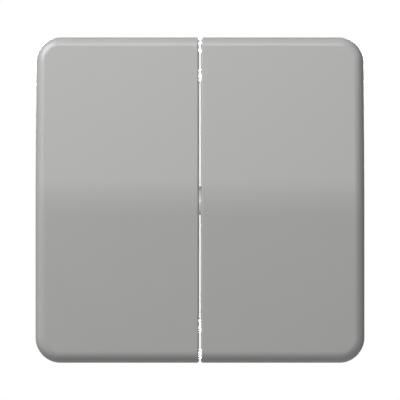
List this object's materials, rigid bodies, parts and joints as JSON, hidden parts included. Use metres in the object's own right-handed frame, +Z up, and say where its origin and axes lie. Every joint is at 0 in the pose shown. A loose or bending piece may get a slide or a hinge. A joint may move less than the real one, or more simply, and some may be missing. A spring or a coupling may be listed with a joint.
{
  "type": "rocker wall switch",
  "caption": "Flush two-circuit wall switch: two tall gable-fronted grey rockers side by side on an insert with a steel support plate, push-in terminals and spreader claws.",
  "frame": {"origin": "middle of the 60 mm box screw pattern, on the wall surface (the back face of the support plate)", "axes": "+X to the right and +Z up as seen from the room, -Y out of the wall towards the room"},
  "size_m": [0.07, 0.0374, 0.0695],
  "materials": {
    "grey_plastic": "fine satin grain",
    "white_plastic": "satin",
    "light_grey_plastic": "fine grain",
    "plunger_plastic": "smooth",
    "lever_plastic": "satin",
    "zinc_plated_steel": "zinc plated, stamped",
    "screw_steel": "bright zinc",
    "spring_steel": "drawn",
    "brass": "stamped",
    "silver": "matt silver"
  },
  "bodies": {
    "insert": {"support_plate": "zinc_plated_steel", "front_cover": "white_plastic", "base_housing": "light_grey_plastic", "rear_cover": "light_grey_plastic", "assembly_screws": "screw_steel", "common_busbar": "brass", "common_clamp_springs": "spring_steel", "left_output_busbar": "brass", "right_output_busbar": "brass", "left_fixed_contact": "silver", "right_fixed_contact": "silver", "left_clamp_springs": "spring_steel", "right_clamp_springs": "spring_steel"},
    "left_rocker_body": {"left_rocker": "grey_plastic", "left_cradle": "white_plastic", "left_plunger_spring": "spring_steel"},
    "left_plunger_body": {"left_plunger": "plunger_plastic"},
    "left_seesaw_body": {"left_seesaw": "brass", "left_moving_contact": "silver"},
    "left_claw_body": {"left_claw": "zinc_plated_steel"},
    "left_claw_screw_body": {"left_claw_screw": "screw_steel"},
    "right_rocker_body": {"right_rocker": "grey_plastic", "right_cradle": "white_plastic", "right_plunger_spring": "spring_steel"},
    "right_plunger_body": {"right_plunger": "plunger_plastic"},
    "right_seesaw_body": {"right_seesaw": "brass", "right_moving_contact": "silver"},
    "right_claw_body": {"right_claw": "zinc_plated_steel"},
    "right_claw_screw_body": {"right_claw_screw": "screw_steel"},
    "common_lever_body": {"common_release_lever": "lever_plastic"},
    "left_lever_body": {"left_release_lever": "lever_plastic"},
    "right_lever_body": {"right_release_lever": "lever_plastic"}
  },
  "joints": [
    {"name": "left_rocker_swing", "type": "hinge", "parent": "insert", "child": "left_rocker_body", "pos_m": [-0.0095, -0.004, 0], "axis": [1, 0, 0], "range_deg": [0, 8]},
    {"name": "left_plunger_slide", "type": "slide", "parent": "left_rocker_body", "child": "left_plunger_body", "axis": [0, 0.9976, -0.0698], "range_m": [-0.0012, 0], "stiffness_N_per_m": 300, "springref_m": 0.002, "deforming": ["left_plunger_spring"]},
    {"name": "left_contact_tilt", "type": "hinge", "parent": "insert", "child": "left_seesaw_body", "pos_m": [-0.0095, 0.00905, 0], "axis": [1, 0, 0], "range_deg": [-22, 0]},
    {"name": "left_claw_screw_turn", "type": "hinge", "parent": "insert", "child": "left_claw_screw_body", "pos_m": [-0.0244, 0, 0], "axis": [0, 1, 0], "range_deg": [0, 1440]},
    {"name": "left_claw_spread", "type": "hinge", "parent": "insert", "child": "left_claw_body", "pos_m": [-0.0223, 0.0021, 0], "axis": [0, 0, 1], "range_deg": [0, 12]},
    {"name": "right_rocker_swing", "type": "hinge", "parent": "insert", "child": "right_rocker_body", "pos_m": [0.0095, -0.004, 0], "axis": [1, 0, 0], "range_deg": [0, 8]},
    {"name": "right_plunger_slide", "type": "slide", "parent": "right_rocker_body", "child": "right_plunger_body", "axis": [0, 0.9976, -0.0698], "range_m": [-0.0012, 0], "stiffness_N_per_m": 300, "springref_m": 0.002, "deforming": ["right_plunger_spring"]},
    {"name": "right_contact_tilt", "type": "hinge", "parent": "insert", "child": "right_seesaw_body", "pos_m": [0.0095, 0.00905, 0], "axis": [1, 0, 0], "range_deg": [-22, 0]},
    {"name": "right_claw_screw_turn", "type": "hinge", "parent": "insert", "child": "right_claw_screw_body", "pos_m": [0.0244, 0, 0], "axis": [0, 1, 0], "range_deg": [0, 1440]},
    {"name": "right_claw_spread", "type": "hinge", "parent": "insert", "child": "right_claw_body", "pos_m": [0.0223, 0.0021, 0], "axis": [0, 0, -1], "range_deg": [0, 12]},
    {"name": "common_lever_push", "type": "slide", "parent": "insert", "child": "common_lever_body", "axis": [0, -1, 0], "range_m": [0, 0.001], "stiffness_N_per_m": 400, "springref_m": -0.001},
    {"name": "left_lever_push", "type": "slide", "parent": "insert", "child": "left_lever_body", "axis": [0, -1, 0], "range_m": [0, 0.001], "stiffness_N_per_m": 400, "springref_m": -0.001},
    {"name": "right_lever_push", "type": "slide", "parent": "insert", "child": "right_lever_body", "axis": [0, -1, 0], "range_m": [0, 0.001], "stiffness_N_per_m": 400, "springref_m": -0.001}
  ],
  "couplings": [
    {"joint": "left_contact_tilt", "follows": "left_rocker_swing", "ratio": -2.75},
    {"joint": "left_claw_spread", "follows": "left_claw_screw_turn", "ratio": 0.0083333},
    {"joint": "right_contact_tilt", "follows": "right_rocker_swing", "ratio": -2.75},
    {"joint": "right_claw_spread", "follows": "right_claw_screw_turn", "ratio": 0.0083333}
  ]
}
